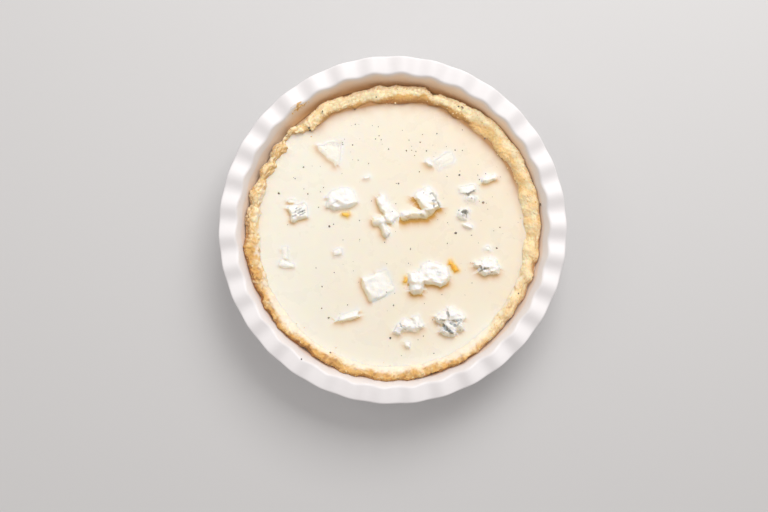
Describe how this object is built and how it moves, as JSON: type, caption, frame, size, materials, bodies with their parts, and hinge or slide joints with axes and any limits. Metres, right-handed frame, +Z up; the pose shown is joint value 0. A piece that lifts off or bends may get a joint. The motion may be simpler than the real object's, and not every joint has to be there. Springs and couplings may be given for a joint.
{
  "type": "pumpkin quiche",
  "caption": "Unbaked quiche with cream custard, crumbled blue cheese and bits of pumpkin in a pinched pastry case, in its ruffled white ceramic pie dish.",
  "frame": {"origin": "middle of the dish's foot, on the surface it stands on", "axes": "+Z up, square to the dish's rim; +X to the right and +Y to the back as the picture shows it from above"},
  "size_m": [0.252, 0.252, 0.046],
  "materials": {
    "glaze": "glossy white glaze",
    "pastry": "crumbly shortcrust pastry, pre-baked pale gold",
    "custard": "smooth, softly shining cream custard with flakes of pepper",
    "cheese": "moist crumbly white cheese with blue-grey veins",
    "pumpkin": "moist orange pumpkin flesh"
  },
  "bodies": {
    "root": {"dish": "glaze", "crust": "pastry", "custard": "custard", "cheese_01": "cheese", "cheese_02": "cheese", "cheese_03": "cheese", "cheese_04": "cheese", "cheese_05": "cheese", "cheese_06": "cheese", "cheese_07": "cheese", "cheese_08": "cheese", "cheese_09": "cheese", "cheese_10": "cheese", "cheese_11": "cheese", "cheese_12": "cheese", "cheese_13": "cheese", "cheese_14": "cheese", "cheese_15": "cheese", "cheese_16": "cheese", "cheese_17": "cheese", "cheese_18": "cheese", "cheese_19": "cheese", "cheese_20": "cheese", "cheese_21": "cheese", "cheese_22": "cheese", "pumpkin_01": "pumpkin", "pumpkin_02": "pumpkin", "pumpkin_03": "pumpkin"}
  },
  "joints": []
}
